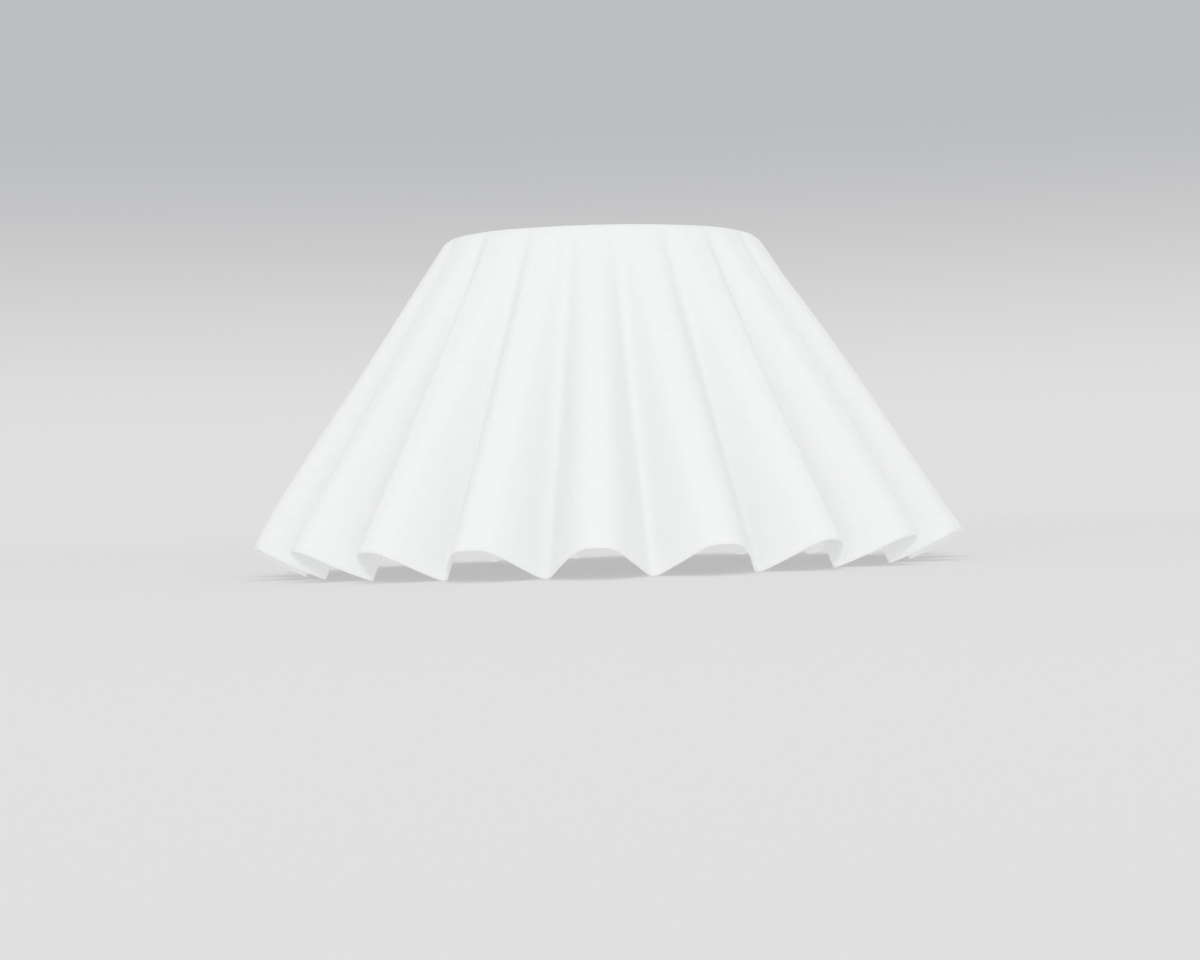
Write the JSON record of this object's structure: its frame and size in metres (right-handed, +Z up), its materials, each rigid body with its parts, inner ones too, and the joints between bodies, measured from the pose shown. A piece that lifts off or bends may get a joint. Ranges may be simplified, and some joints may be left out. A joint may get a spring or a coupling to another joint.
{
  "type": "coffee filter",
  "caption": "Pleated flat-bottomed white paper coffee filter, standing upside down on its wavy rim.",
  "frame": {"origin": "middle of the ring of fold tips that the filter stands on, in the plane of the surface under it", "axes": "+Z up along the cup's axis, from the open rim to the flat base; -Y is the front, where a ridge faces the viewer"},
  "size_m": [0.114, 0.114, 0.0537],
  "materials": {
    "paper": "matte"
  },
  "bodies": {
    "root": {"filter": "paper"}
  },
  "joints": []
}
